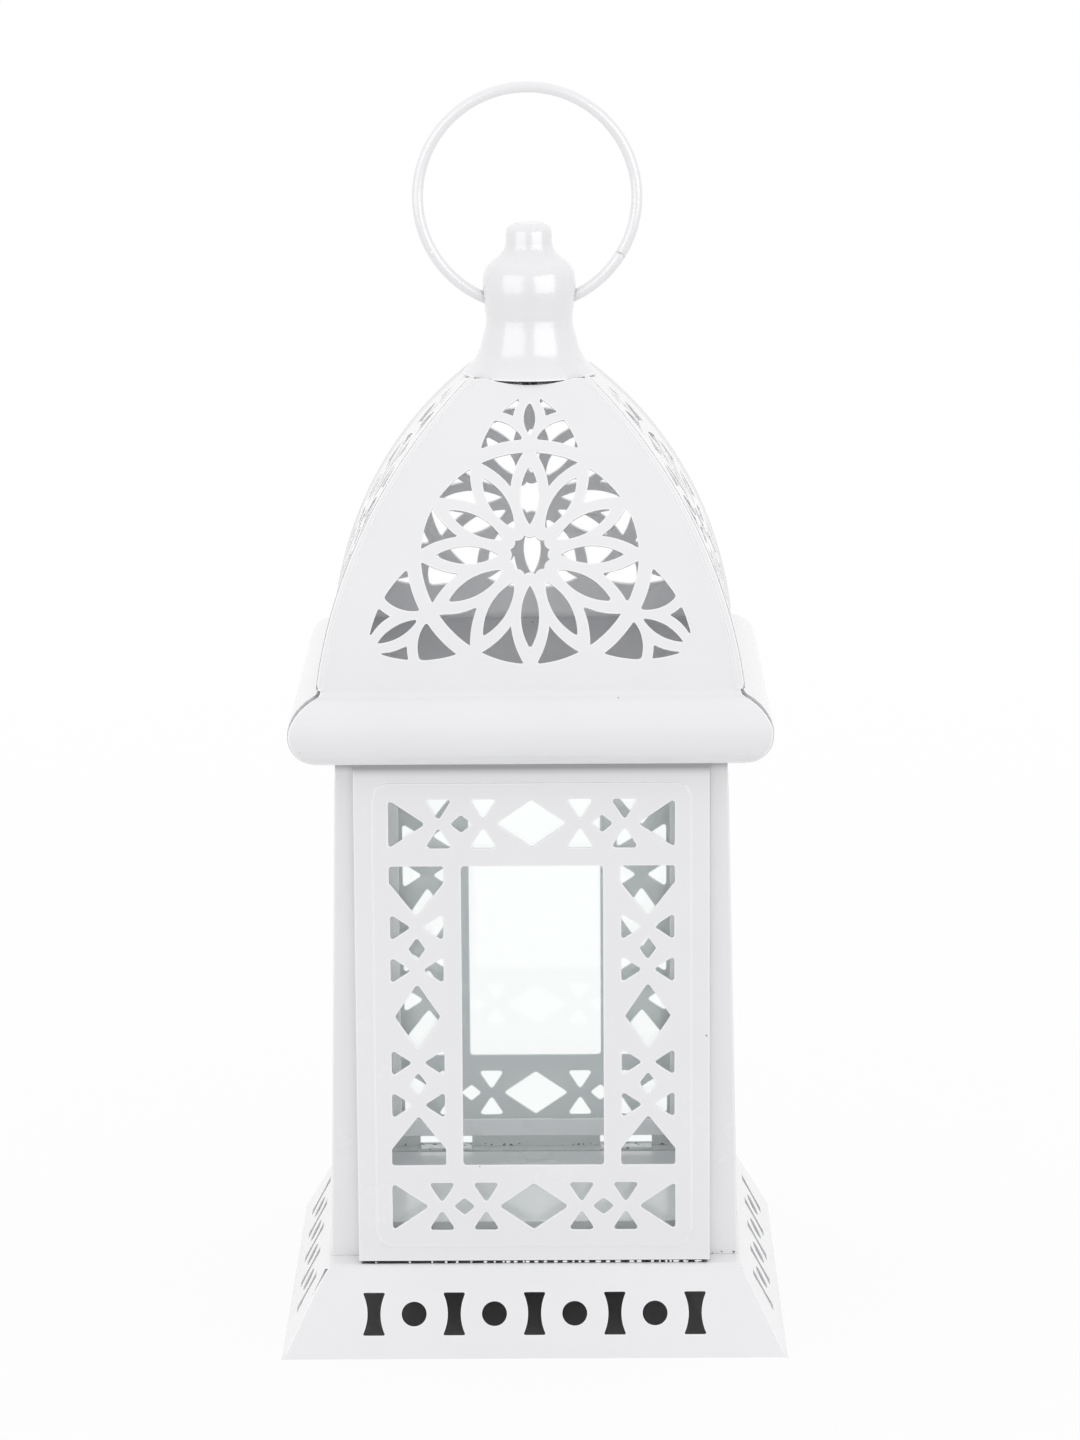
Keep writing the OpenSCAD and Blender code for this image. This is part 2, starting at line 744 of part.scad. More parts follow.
module roof_front() color(white) on_side(0) roof_panel();

module roof_back() color(white) on_side(2) roof_panel();

module roof_left() color(white) on_side(-1) roof_panel();

module roof_right() color(white) on_side(1) roof_panel();

module roof_cap() {
    color(white) translate([0, 0, cap_z]) linear_extrude(cap_t) difference() {
        square(2 * cap_half, center = true);
        circle(screw_d / 2 + screw_play);
    }
}

module finial() {
    line = smooth([for (p = finial_shares) [p[0] * rim_r, p[1] * finial_h]], finial_steps);
    inner = moved(line, shell_t);
    last = inner[len(inner) - 1];
    color(white) translate([0, 0, rim_z]) difference() {
        rotate_extrude() polygon(concat(
            line,
            [[0, finial_h], [0, finial_h - shell_t], [last[0], finial_h - shell_t]],
            reversed([for (p = inner) if (p[1] < finial_h - shell_t) [p[0], max(p[1], 0)]])
        ));
        translate([0, 0, pivot_z - rim_z]) rotate([0, 90, 0])
            cylinder(d = wire_hole_d, h = 4 * rim_r, center = true);
    }
}

// Bar across the finial's foot, on the diagonal
module finial_bar() {
    color(white) translate([0, 0, rim_z]) rotate(45) difference() {
        translate([-bar_l / 2, -bar_inside_w / 2, 0]) cube([bar_l, bar_inside_w, bar_t]);
        translate([0, 0, -over]) cylinder(r = screw_d / 2 + screw_play, h = bar_t + 2 * over);
    }
}

module finial_screw() {
    color(steel) {
        translate([0, 0, cap_z - screw_head_t]) cylinder(d = screw_head_d, h = screw_head_t);
        translate([0, 0, cap_z]) cylinder(d = screw_d, h = rim_z - cap_z + bar_t + nut_t + screw_head_t);
    }
}

module finial_nut() {
    color(steel) translate([0, 0, rim_z + bar_t]) difference() {
        cylinder(d = nut_w / cos(30), h = nut_t, $fn = 6);
        translate([0, 0, -over]) cylinder(r = screw_d / 2 + screw_play, h = nut_t + 2 * over);
    }
}

module ring_handle() {
    color(white) translate([-handle_slack, 0, handle_z]) difference() {
        rotate([90, 0, 0]) rotate_extrude() translate([handle_r, 0]) circle(d = wire_d);
        rotate([0, butt_angle, 0]) translate([handle_r - wire_d, -wire_d, -butt_gap / 2])
            cube([2 * wire_d, 2 * wire_d, butt_gap]);
    }
}

plinth();
wall_left();
wall_right();
wall_back();
door_panel();
glass_left();
glass_right();
glass_back();
door_glass();
frame_left();
frame_right();
frame_back();
door_frame();
door_catch();
hinge_pins();
eave_frame();
roof_front();
roof_back();
roof_left();
roof_right();
roof_cap();
finial();
finial_bar();
finial_screw();
finial_nut();
ring_handle();
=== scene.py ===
# %% [markdown]
# # A pierced metal candle lantern
#
# The lantern is made of thin steel sheet that was cut, folded and dipped in white gloss paint.
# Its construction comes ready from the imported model: a sloping plinth, four lattice sides with
# glass behind them, a curved square roof, a spun finial and a wire ring.
# This lesson gives each of those pieces its finish, and the small things that paint and welding
# leave behind: soft edges on every cut-out, drops, dust and burnt specks.

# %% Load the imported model
import json
import math
import random

import bpy
from mathutils import Matrix, Vector

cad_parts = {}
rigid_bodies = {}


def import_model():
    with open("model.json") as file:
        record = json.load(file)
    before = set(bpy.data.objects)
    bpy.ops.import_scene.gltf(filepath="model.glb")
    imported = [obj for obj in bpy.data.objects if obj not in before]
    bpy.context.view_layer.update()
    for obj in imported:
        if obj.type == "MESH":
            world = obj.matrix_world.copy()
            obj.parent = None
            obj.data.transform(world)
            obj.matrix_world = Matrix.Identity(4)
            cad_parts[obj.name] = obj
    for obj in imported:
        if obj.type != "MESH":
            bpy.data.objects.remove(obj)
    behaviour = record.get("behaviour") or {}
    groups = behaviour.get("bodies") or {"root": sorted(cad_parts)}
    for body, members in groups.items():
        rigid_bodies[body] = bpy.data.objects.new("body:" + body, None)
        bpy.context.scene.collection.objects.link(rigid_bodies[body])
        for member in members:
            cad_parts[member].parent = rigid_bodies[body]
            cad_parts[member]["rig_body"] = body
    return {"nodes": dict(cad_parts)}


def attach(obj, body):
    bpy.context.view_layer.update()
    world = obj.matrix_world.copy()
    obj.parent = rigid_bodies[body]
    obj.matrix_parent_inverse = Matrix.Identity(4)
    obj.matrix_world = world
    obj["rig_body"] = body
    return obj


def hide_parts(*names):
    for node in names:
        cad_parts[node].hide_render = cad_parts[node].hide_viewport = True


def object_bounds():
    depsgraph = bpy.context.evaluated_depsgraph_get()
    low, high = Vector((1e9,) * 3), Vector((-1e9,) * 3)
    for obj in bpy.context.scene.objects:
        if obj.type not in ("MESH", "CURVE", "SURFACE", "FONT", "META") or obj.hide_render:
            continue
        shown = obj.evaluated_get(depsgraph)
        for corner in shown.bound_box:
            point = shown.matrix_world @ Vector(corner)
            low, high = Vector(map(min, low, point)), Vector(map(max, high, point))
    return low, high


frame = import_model()
nodes = frame["nodes"]
cad_low, cad_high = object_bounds()
MM = 0.001
print("nodes:", len(nodes), "size in mm:", [round(v / MM, 1) for v in cad_high - cad_low])

# %% [markdown]
# ## The camera
#
# The photograph is a product shot from a step away, with a long lens and from a little above.
# A camera matrix was worked out from the corners of the plinth, the eave, the door and the finial
# in the picture. A long lens keeps the plinth's sides almost parallel, so the distance matters as
# much as the angle: from nearer, the roof would hide more of itself behind the eave.

# %% Place the camera
PHOTO_HEIGHT_PX = 1440
FOCAL_PX = 4961.9
SENSOR = 36.0
CLIP_START = 50 * MM
CAMERA_AT = Vector((7.00, -1030.94, 345.53)) * MM
CAMERA_PITCH = math.radians(12.118)
CAMERA_ROLL = math.radians(-0.372)
CAMERA_YAW = math.radians(-0.296)


def make_camera():
    data = bpy.data.cameras.new("camera")
    data.sensor_width = SENSOR
    data.lens = FOCAL_PX * SENSOR / PHOTO_HEIGHT_PX
    data.clip_start = CLIP_START
    camera = bpy.data.objects.new("camera", data)
    bpy.context.scene.collection.objects.link(camera)
    turn = (
        Matrix.Rotation(-CAMERA_YAW, 4, "Z")
        @ Matrix.Rotation(math.radians(90) - CAMERA_PITCH, 4, "X")
        @ Matrix.Rotation(CAMERA_ROLL, 4, "Z")
    )
    camera.matrix_world = Matrix.Translation(CAMERA_AT) @ turn
    bpy.context.scene.camera = camera
    return camera


camera = make_camera()
print("lens in mm:", round(camera.data.lens, 1))

# %% [markdown]
# ## The studio
#
# The background of the photograph is pure white, and the lantern throws almost no shadow.
# A white floor lit until it clips would also wash out the white paint, so the floor is a pale
# grey for light and for shadows, and only the camera sees it as white where nothing shades it.
# Its shader mixes towards an emission of strength 1 by the light path: rays from the camera,
# rays through glass and reflections see the white studio, and all other rays see plain matt grey.

# %% Helpers for nodes
WHITE = (1.0, 1.0, 1.0, 1.0)
STUDIO_LIGHT = 1.0


def grey(value):
    return (value, value, value, 1.0)


def new_material(name):
    material = bpy.data.materials.new(name)
    material.use_nodes = True
    material.node_tree.nodes.clear()
    return material


def add(material, kind, inputs=None, **settings):
    """Adds a node, sets its properties and gives its sockets values or links."""
    tree = material.node_tree
    made = tree.nodes.new(kind)
    for key, value in settings.items():
        setattr(made, key, value)
    for key, value in (inputs or {}).items():
        if isinstance(value, bpy.types.NodeSocket):
            tree.links.new(value, made.inputs[key])
        else:
            made.inputs[key].default_value = value
    return made


print("studio white:", WHITE[:3])

# %% [markdown]
# A mask in a material is arithmetic on coordinates, one node for each step. These short helpers
# add a node and give its result, so that a mask reads like a formula.

# %% Helpers for masks and mixes
def calc(material, operation, *values):
    """Adds a Math node and gives its result."""
    return add(material, "ShaderNodeMath", dict(enumerate(values)), operation=operation).outputs[0]


def product(material, first, *others):
    """Product of several values."""
    for value in others:
        first = calc(material, "MULTIPLY", first, value)
    return first


def object_place(material):
    """Object coordinates, which stay on a piece when its body moves."""
    return add(material, "ShaderNodeTexCoord").outputs["Object"]


def split(material, vector):
    """The x, y and z of a vector."""
    return add(material, "ShaderNodeSeparateXYZ", {0: vector}).outputs


def ramp(material, value, before, after):
    """Maps a range of a value to another range; both are given by their two ends."""
    inputs = {"Value": value, "From Min": before[0], "From Max": before[1]}
    inputs.update({"To Min": after[0], "To Max": after[1]})
    return add(material, "ShaderNodeMapRange", inputs).outputs[0]


def blend(material, share, first, second):
    """Mixes two colours."""
    inputs = {"Factor": share, "A": first, "B": second}
    return add(material, "ShaderNodeMix", inputs, data_type="RGBA").outputs["Result"]


def blend_shaders(material, share, first, second):
    """Mixes two shaders and makes the mix the material's surface."""
    inputs = {0: share, 1: first.outputs[0], 2: second.outputs[0]}
    surface = add(material, "ShaderNodeMixShader", inputs).outputs[0]
    add(material, "ShaderNodeOutputMaterial", {"Surface": surface})


print("helpers:", [helper.__name__ for helper in (calc, product, split, ramp, blend)])

# %% The floor
FLOOR_SIZE = 12.0
FLOOR_GREY = 0.85
SHADE_GREY = 0.45
NEAR_SHARE = 0.9
FADE_FROM = 0.1
FADE_TO = 0.9
FOOT_HALF = cad_high.x


def seen_directly(material):
    """1 for rays that show a surface to the eye: from the camera, mirrored or through glass."""
    path = add(material, "ShaderNodeLightPath").outputs
    first = calc(material, "MAXIMUM", path["Is Camera Ray"], path["Is Glossy Ray"])
    return calc(material, "MAXIMUM", first, path["Is Transmission Ray"])


def outside_foot(material, place):
    """0 under the plinth, where the studio's white doesn't reach, and 1 outside it."""
    parts = split(material, place)
    sides = [calc(material, "ABSOLUTE", parts[axis]) for axis in (0, 1)]
    return calc(material, "GREATER_THAN", calc(material, "MAXIMUM", *sides), FOOT_HALF)


def white_share(material, place):
    """Share of the studio's white, from a little under 1 at the lantern to 1 further away."""
    away = add(material, "ShaderNodeVectorMath", {0: place}, operation="LENGTH")
    return ramp(material, away.outputs["Value"], (FADE_FROM, FADE_TO), (NEAR_SHARE, 1.0))


def make_floor():
    bpy.ops.mesh.primitive_plane_add(size=FLOOR_SIZE, location=(0, 0, 0))
    floor = bpy.context.object
    floor.name = "studio_floor"
    material = new_material("studio_floor")
    place = object_place(material)
    outside = outside_foot(material, place)
    # Under the plinth the floor is a darker grey, a painted shade that keeps the plinth's slots
    # dark inside.
    tone = blend(material, outside, grey(SHADE_GREY), grey(FLOOR_GREY))
    matt = add(material, "ShaderNodeBsdfDiffuse", {"Color": tone})
    white = add(material, "ShaderNodeEmission", {"Color": WHITE, "Strength": STUDIO_LIGHT})
    through_glass = add(material, "ShaderNodeLightPath").outputs["Is Transmission Ray"]
    near_white = calc(material, "MAXIMUM", white_share(material, place), through_glass)
    share = product(material, seen_directly(material), outside, near_white)
    blend_shaders(material, share, matt, white)
    floor.data.materials.append(material)
    return floor


bpy.ops.object.select_all(action="DESELECT")
floor = make_floor()
print("floor:", floor.dimensions[:2])

# %% [markdown]
# ## Light
#
# Nearly all light in the photograph comes from a white room that shines evenly from all round,
# so the world is plain white with a strength of 1. The folds of the sheet only show because a
# hollow or a face that looks at the floor gets a little less of it.
# The finial mirrors two square soft boxes, one to the left and one to the right of the camera and
# a little above it. They give the paint its gloss and hardly any of its tone, so these two lamps
# are seen in reflections and left out of the matt light. A weak wide lamp overhead lifts the roof.

# %% The world
def make_world():
    world = bpy.data.worlds.new("studio")
    bpy.context.scene.world = world
    world.use_nodes = True
    world.node_tree.nodes.clear()
    light = add(world, "ShaderNodeBackground", {"Color": WHITE, "Strength": STUDIO_LIGHT})
    add(world, "ShaderNodeOutputWorld", {"Surface": light.outputs[0]})


make_world()
bpy.context.scene.view_settings.view_transform = "Standard"
print("world strength:", STUDIO_LIGHT)

# %% The soft boxes
TARGET = Vector((0, 0, 0.13))
BOX_AZIMUTH = math.radians(41)
BOX_ELEVATION = math.radians(15)
BOX_DISTANCE = 1.0
BOX_SIZE = (1.0, 0.85)
LEFT_RADIANCE = 2.0
RIGHT_RADIANCE = 2.8
TOP_ELEVATION = math.radians(80)
TOP_SIZE = (1.4, 1.4)
TOP_RADIANCE = 0.12


def soft_box(name, azimuth, elevation, size, radiance):
    """A square lamp that looks at the lantern. Its power is pi times its area and its radiance."""
    data = bpy.data.lights.new(name, "AREA")
    data.shape = "RECTANGLE"
    data.size, data.size_y = size
    data.energy = radiance * math.pi * size[0] * size[1]
    lamp = bpy.data.objects.new(name, data)
    bpy.context.scene.collection.objects.link(lamp)
    level = math.cos(elevation)
    away = BOX_DISTANCE * Vector(
        (level * math.sin(azimuth), -level * math.cos(azimuth), math.sin(elevation))
    )
    lamp.location = TARGET + away
    lamp.rotation_euler = (-away).to_track_quat("-Z", "Y").to_euler()
    return lamp


for name, azimuth, radiance in (
    ("left_box", -BOX_AZIMUTH, LEFT_RADIANCE),
    ("right_box", BOX_AZIMUTH, RIGHT_RADIANCE),
):
    mirrored = soft_box(name, azimuth, BOX_ELEVATION, BOX_SIZE, radiance)
    mirrored.visible_diffuse = False
soft_box("top_box", 0, TOP_ELEVATION, TOP_SIZE, TOP_RADIANCE)
print("soft boxes:", len(bpy.data.lights))

# %% [markdown]
# ## White gloss paint
#
# The paint is a stoved enamel: white with a trace of violet, glossy, and thick enough to round the
# edges a little. Up close it is not flat. A slow mottling of the tone comes from its thickness,
# a fine orange peel breaks the reflections, and here and there a dark speck of dust is caught
# in it. Along every edge the colour is lifted a little: a painted highlight, where the paint's
# round edge would catch the light.
# All of it is made from object coordinates, so it stays on the metal as it turns.

# %% Specks and painted edge highlights
SPECK_PER_M = 170.0
SPECK_SIZE = 0.03
SPECK_SHARE = 0.12
# Sizes of the painted highlight along the edges.
EDGE_HIGHLIGHT_WIDTH = 0.45 * MM
EDGE_HIGHLIGHT_SAMPLES = 4
EDGE_HIGHLIGHT_FROM = 1.0 * MM
EDGE_HIGHLIGHT_COSINE = 0.97


def speck_mask(material, place):
    """Small dots round the middles of cells, in an eighth of the cells."""
    cells = add(material, "ShaderNodeTexVoronoi", {"Vector": place, "Scale": SPECK_PER_M}).outputs
    near = calc(material, "LESS_THAN", cells["Distance"], SPECK_SIZE)
    parts = add(material, "ShaderNodeSeparateColor", {"Color": cells["Color"]}).outputs
    return product(material, near, calc(material, "LESS_THAN", parts[0], SPECK_SHARE))


def painted_edge_highlight(material, place):
    """1 at edges, where a painted highlight runs along them; 0 on flats and at the foot."""
    edge_round_normal = add(material, "ShaderNodeBevel", {"Radius": EDGE_HIGHLIGHT_WIDTH}, samples=EDGE_HIGHLIGHT_SAMPLES)
    flat = add(material, "ShaderNodeNewGeometry")
    same = add(
        material,
        "ShaderNodeVectorMath",
        {0: edge_round_normal.outputs["Normal"], 1: flat.outputs["Normal"]},
        operation="DOT_PRODUCT",
    )
    share = ramp(material, same.outputs["Value"], (1.0, EDGE_HIGHLIGHT_COSINE), (0.0, 1.0))
    above = calc(material, "GREATER_THAN", split(material, place)[2], EDGE_HIGHLIGHT_FROM)
    return product(material, share, above)


print("specks in one cell of", round(1 / SPECK_SHARE))

# %% [markdown]
# Other marks have a place of their own. Two are at the plinth: a dark strip under the door, a
# painted shade for the shadow in the gap beneath the door's foot, and burnt specks of the spot
# welds at the walls' feet. Each is a box in object coordinates, and the specks are also broken up
# by a noise.

# %% Painted shade and weld marks at the plinth
# Where the painted shade of the door's gap lies.
GAP_SHADE_HALF = 36 * MM
GAP_SHADE_DEPTH = (-42.3 * MM, -39.2 * MM)
GAP_SHADE_HEIGHT = (17.3 * MM, 17.45 * MM)
SEAM_HEIGHT = (17.45 * MM, 17.95 * MM)
STAINS = {"Scale": 900.0, "Detail": 1.0, "Roughness": 0.5}
STAIN_LEVEL = 0.63


def between(material, value, low, high):
    """1 where a value lies between two limits and 0 elsewhere."""
    middle = calc(material, "SUBTRACT", value, (low + high) / 2)
    size = calc(material, "ABSOLUTE", middle)
    return calc(material, "LESS_THAN", size, (high - low) / 2)


def noise(material, place, sizes):
    """Noise with the sizes of a pattern; its scale is the number of waves per metre."""
    return add(material, "ShaderNodeTexNoise", {"Vector": place, **sizes}).outputs["Fac"]


def gap_shade_mask(material, place):
    """Painted shade in the gap under the door: a dark strip on the plinth that hides under the
    door's foot.
    """
    x, y, z = split(material, place)
    return product(
        material,
        between(material, x, -GAP_SHADE_HALF, GAP_SHADE_HALF),
        between(material, y, *GAP_SHADE_DEPTH),
        between(material, z, *GAP_SHADE_HEIGHT),
    )


def seam_mask(material, place):
    """Burnt specks of the spot welds where the walls stand on the plinth."""
    height = split(material, place)[2]
    stains = noise(material, place, STAINS)
    burnt = calc(material, "GREATER_THAN", stains, STAIN_LEVEL)
    return product(material, between(material, height, *SEAM_HEIGHT), burnt)


print("bare strip in mm:", [round(v / MM, 1) for v in GAP_SHADE_DEPTH])

# %% [markdown]
# Two more marks sit higher up: a painted shade greys the walls' heads, where the eave's shadow
# falls on them, and a fine line across the ring's wire shows where its two ends meet.

# %% Painted shade on the walls' heads and a mark on the ring
# Where and how strongly the painted shade under the eave greys the walls' heads.
EAVE_SHADE_RISE = (120.8 * MM, 122.8 * MM)
EAVE_SHADE_END = 124.7 * MM
EAVE_SHADE_POWER = 2.0
EAVE_SHADE_TONE = 0.55
BODY_HALF = 43 * MM
RING_MID = Vector((-0.3, 0, 235.35)) * MM
RING_R = 22.8 * MM
JOINT_ANGLE = math.radians(-31.7)
JOINT_WAY = Vector((-math.sin(JOINT_ANGLE), 0, math.cos(JOINT_ANGLE)))
JOINT_AT = RING_MID + RING_R * Vector((math.cos(JOINT_ANGLE), 0, math.sin(JOINT_ANGLE)))
JOINT_REACH = 1.6 * MM
JOINT_HALF = 0.09 * MM
JOINT_TONE = 0.3


def joint_mask(material, place):
    """The fine line across the ring's wire where its two ends meet."""
    away = add(material, "ShaderNodeVectorMath", {0: place, 1: JOINT_AT}, operation="SUBTRACT")
    way = away.outputs["Vector"]
    length = add(material, "ShaderNodeVectorMath", {0: way}, operation="LENGTH")
    across = add(material, "ShaderNodeVectorMath", {0: way, 1: JOINT_WAY}, operation="DOT_PRODUCT")
    return product(
        material,
        between(material, length.outputs["Value"], -JOINT_REACH, JOINT_REACH),
        between(material, across.outputs["Value"], -JOINT_HALF, JOINT_HALF),
        JOINT_TONE,
    )


def painted_eave_shade(material, place):
    """Painted shade under the eave: it greys the walls' heads, more and more towards the top."""
    x, y, z = split(material, place)
    rise = ramp(material, z, EAVE_SHADE_RISE, (0.0, 1.0))
    return product(
        material,
        calc(material, "POWER", rise, EAVE_SHADE_POWER),
        between(material, x, -BODY_HALF, BODY_HALF),
        between(material, y, -BODY_HALF, BODY_HALF),
        between(material, z, EAVE_SHADE_RISE[0], EAVE_SHADE_END),
        EAVE_SHADE_TONE,
    )


print("joint of the ring in mm:", [round(v / MM, 1) for v in JOINT_AT])

# %% [markdown]
# All of it goes into one material, so that a mark needs no piece or picture of its own. The gloss
# is in two layers, the paint itself and a smoother clear coat over it. Both mirror the soft boxes,
# and the coat mirrors them more sharply.

# %% Mix the paint
PAINT_COLOR = (0.862, 0.861, 0.878, 1.0)
PAINT_THIN = (0.827, 0.826, 0.843, 1.0)
# The colour of the painted edge highlight.
EDGE_HIGHLIGHT_COLOR = (0.97, 0.97, 0.975, 1.0)
# The colour of the dark marks and of the painted shade.
MARK_AND_SHADE_COLOR = (0.06, 0.06, 0.06, 1.0)
MOTTLE = {"Scale": 45.0, "Detail": 3.0, "Roughness": 0.55}
PEEL = {"Scale": 900.0, "Detail": 2.0, "Roughness": 0.5}
PEEL_DEPTH = 0.02 * MM
PEEL_STRENGTH = 0.35
PAINT_ROUGH = (0.22, 0.30)
PAINT_MIRROR = 0.4
COAT_SHARE = 0.6
COAT_ROUGH = 0.11


def dark_marks_and_painted_shade(material, place):
    """All dark marks in the paint together, with the painted shade under the door and under the
    eave.
    """
    total = speck_mask(material, place)
    for mask in (gap_shade_mask, seam_mask, joint_mask, painted_eave_shade):
        total = calc(material, "MAXIMUM", total, mask(material, place))
    return total


def make_paint():
    material = new_material("white_paint")
    place = object_place(material)
    slow = noise(material, place, MOTTLE)
    tone = blend(material, slow, PAINT_THIN, PAINT_COLOR)
    # Edges get a lighter colour here, a painted highlight.
    highlighted = blend(material, painted_edge_highlight(material, place), tone, EDGE_HIGHLIGHT_COLOR)
    peel = noise(material, place, PEEL)
    bump = add(
        material,
        "ShaderNodeBump",
        {"Height": peel, "Strength": PEEL_STRENGTH, "Distance": PEEL_DEPTH},
    )
    # The dark marks and the painted shade darken the base colour.
    paint = add(
        material,
        "ShaderNodeBsdfPrincipled",
        {
            "Base Color": blend(material, dark_marks_and_painted_shade(material, place), highlighted, MARK_AND_SHADE_COLOR),
            "Roughness": ramp(material, slow, (0.0, 1.0), PAINT_ROUGH),
            "Normal": bump.outputs[0],
            "Specular IOR Level": PAINT_MIRROR,
            "Coat Weight": COAT_SHARE,
            "Coat Roughness": COAT_ROUGH,
        },
    )
    add(material, "ShaderNodeOutputMaterial", {"Surface": paint.outputs[0]})
    return material


paint = make_paint()
print("paint:", paint.name, "nodes:", len(paint.node_tree.nodes))

# %% [markdown]
# ## Glass
#
# The panes are ordinary soda-lime glass, 1.4 mm thick, with a faint green cast that adds up where
# the eye looks through two of them. A pane is a closed slab, so a plain glass shader would bend
# the light twice and need many bounces. Light that only shades the room behind goes through a
# transparent shader instead, chosen by the light path, and the eye sees real glass.

# %% The glass
GLASS_COLOR = (0.985, 1.0, 0.996, 1.0)
GLASS_MIRROR = 0.25
GLASS_IOR = 1.45
SMEAR = {"Scale": 30.0, "Detail": 4.0, "Roughness": 0.6}
SMEAR_LEVELS = (0.4, 0.8)
SMEAR_ROUGH = (0.0, 0.05)


def make_glass():
    material = new_material("pane_glass")
    smear = noise(material, object_place(material), SMEAR)
    glass = add(
        material,
        "ShaderNodeBsdfPrincipled",
        {
            "Base Color": GLASS_COLOR,
            "Roughness": ramp(material, smear, SMEAR_LEVELS, SMEAR_ROUGH),
            "IOR": GLASS_IOR,
            "Specular IOR Level": GLASS_MIRROR,
            "Transmission Weight": 1.0,
        },
    )
    clear = add(material, "ShaderNodeBsdfTransparent", {"Color": GLASS_COLOR})
    path = add(material, "ShaderNodeLightPath").outputs
    share = calc(material, "MAXIMUM", path["Is Shadow Ray"], path["Is Diffuse Ray"])
    blend_shaders(material, share, glass, clear)
    return material


glass = make_glass()
print("glass:", glass.name)

# %% [markdown]
# ## Bare steel
#
# The hinge pins, the door's spring wire, the screw and its nut are not painted. Their zinc has
# dull spots, so the roughness varies with a fine noise.

# %% The steel
STEEL_COLOR = (0.56, 0.56, 0.57, 1.0)
STEEL_ROUGH = (0.22, 0.5)
SPOTS = {"Scale": 600.0, "Detail": 4.0, "Roughness": 0.6}


def make_steel():
    material = new_material("bare_steel")
    spots = noise(material, object_place(material), SPOTS)
    rough = ramp(material, spots, (0.0, 1.0), STEEL_ROUGH)
    inputs = {"Base Color": STEEL_COLOR, "Metallic": 1.0, "Roughness": rough}
    steel = add(material, "ShaderNodeBsdfPrincipled", inputs)
    add(material, "ShaderNodeOutputMaterial", {"Surface": steel.outputs[0]})
    return material


steel = make_steel()
print("steel:", steel.name)

# %% [markdown]
# ## Painted sheet
#
# Every cut-out in the real sheet has a bright line along it, where the paint's soft round edge
# catches the light. The material paints a highlight along that line, but in the plain mesh the
# edge is only a pair of faces at a right angle, and nothing turns the light round it. So each
# painted node is copied, its loose triangles are merged and its flat areas are dissolved into
# single faces, ready for a small bevel. The copy stands for the node, which stays in the scene,
# hidden.

# %% Copy a node as one closed skin
MERGE = 0.002 * MM
FLAT_ANGLE = math.radians(0.3)
GLASS_NODES = ["glass_left", "glass_right", "glass_back", "door_glass"]
STEEL_NODES = ["door_catch", "hinge_pins", "finial_screw", "finial_nut"]
ROUND_NODES = ["finial", "ring_handle"]
PAINTED_NODES = sorted(set(nodes) - set(GLASS_NODES) - set(STEEL_NODES))


def only(piece):
    """Selects a piece alone and makes it active: an operator acts on all that is selected."""
    bpy.ops.object.select_all(action="DESELECT")
    piece.select_set(True)
    bpy.context.view_layer.objects.active = piece


def merged_copy(name):
    """A copy of a node as one closed skin, with its flat areas in one face each if it has any."""
    piece = bpy.data.objects.new(name + "_painted", nodes[name].data.copy())
    bpy.context.scene.collection.objects.link(piece)
    only(piece)
    bpy.ops.object.mode_set(mode="EDIT")
    bpy.ops.mesh.select_all(action="SELECT")
    bpy.ops.mesh.remove_doubles(threshold=MERGE)
    bpy.ops.mesh.select_all(action="SELECT")
    if name not in ROUND_NODES:
        bpy.ops.mesh.dissolve_limited(angle_limit=FLAT_ANGLE)
    bpy.ops.object.mode_set(mode="OBJECT")
    return piece


print("painted nodes:", len(PAINTED_NODES))

# %% [markdown]
# The roof is four equal panels, and each follows three rounds in the upright plane through its
# middle: a long convex curve, a small hollow at its foot and the rolled eave. The rosette is cut
# square to the panel at its eye. These few sizes tell later steps which way the cuts run and
# which way the skin faces.

# %% The roof's rounds and the directions of the cuts
ROSETTE_LEAN = math.radians(23.66)
PLINTH_SLOPE = math.radians(62.13)
CURVE_MID = (-51.136 * MM, 128.16 * MM)
CURVE_R = 95.2 * MM
CURVE_FOOT = 139.8 * MM
HOLLOW_MID = (44.938 * MM, 139.99 * MM)
HOLLOW_R = 1.6 * MM
EAVE_MID = (41.95 * MM, 131.5 * MM)
TURNS = [Matrix.Rotation(math.radians(90 * k), 3, "Z") for k in range(4)]
ROOF_TURNS = dict(zip(["roof_front", "roof_right", "roof_back", "roof_left"], TURNS))


def four_ways(out, up):
    """A direction that leans out from the front by out and up by up, and its turned copies."""
    return [turn @ Vector((0, -out, up)) for turn in TURNS]


ROSETTE_WAYS = four_ways(math.cos(ROSETTE_LEAN), math.sin(ROSETTE_LEAN))
CUT_DIRECTIONS = {name: [way] for name, way in zip(ROOF_TURNS, ROSETTE_WAYS)}
CUT_DIRECTIONS["plinth"] = four_ways(math.sin(PLINTH_SLOPE), math.cos(PLINTH_SLOPE))
HIP_DIRECTIONS = [
    Vector((x, y, math.tan(PLINTH_SLOPE))).normalized() for x in (-1, 1) for y in (-1, 1)
]
EYES = four_ways(
    CURVE_MID[0] + CURVE_R * math.cos(ROSETTE_LEAN), CURVE_MID[1] + CURVE_R * math.sin(ROSETTE_LEAN)
)
print("eye of the front rosette in mm:", [round(v / MM, 1) for v in EYES[0]])

# %% [markdown]
# The corners of the cut-outs in plan and the plinth's folded hips are rounder than the paint alone
# would make them. They are bevelled first, picked by their direction and length. At a rosette's
# eye the leaves meet in cusps too fine for such a corner, so edges near an eye are left.

# %% Round the corners and the hips
SHARP_ANGLE = math.radians(35)
CORNER_ROUND = 0.5 * MM
CORNER_STEPS = 3
CORNER_LENGTHS = (0.4 * MM, 1.6 * MM)
HIP_ROUND = 0.4 * MM
HIP_STEPS = 4
HIP_LENGTHS = (4 * MM, 30 * MM)
EYE_CLEAR = 5.5 * MM
PARALLEL_COSINE = 0.9995


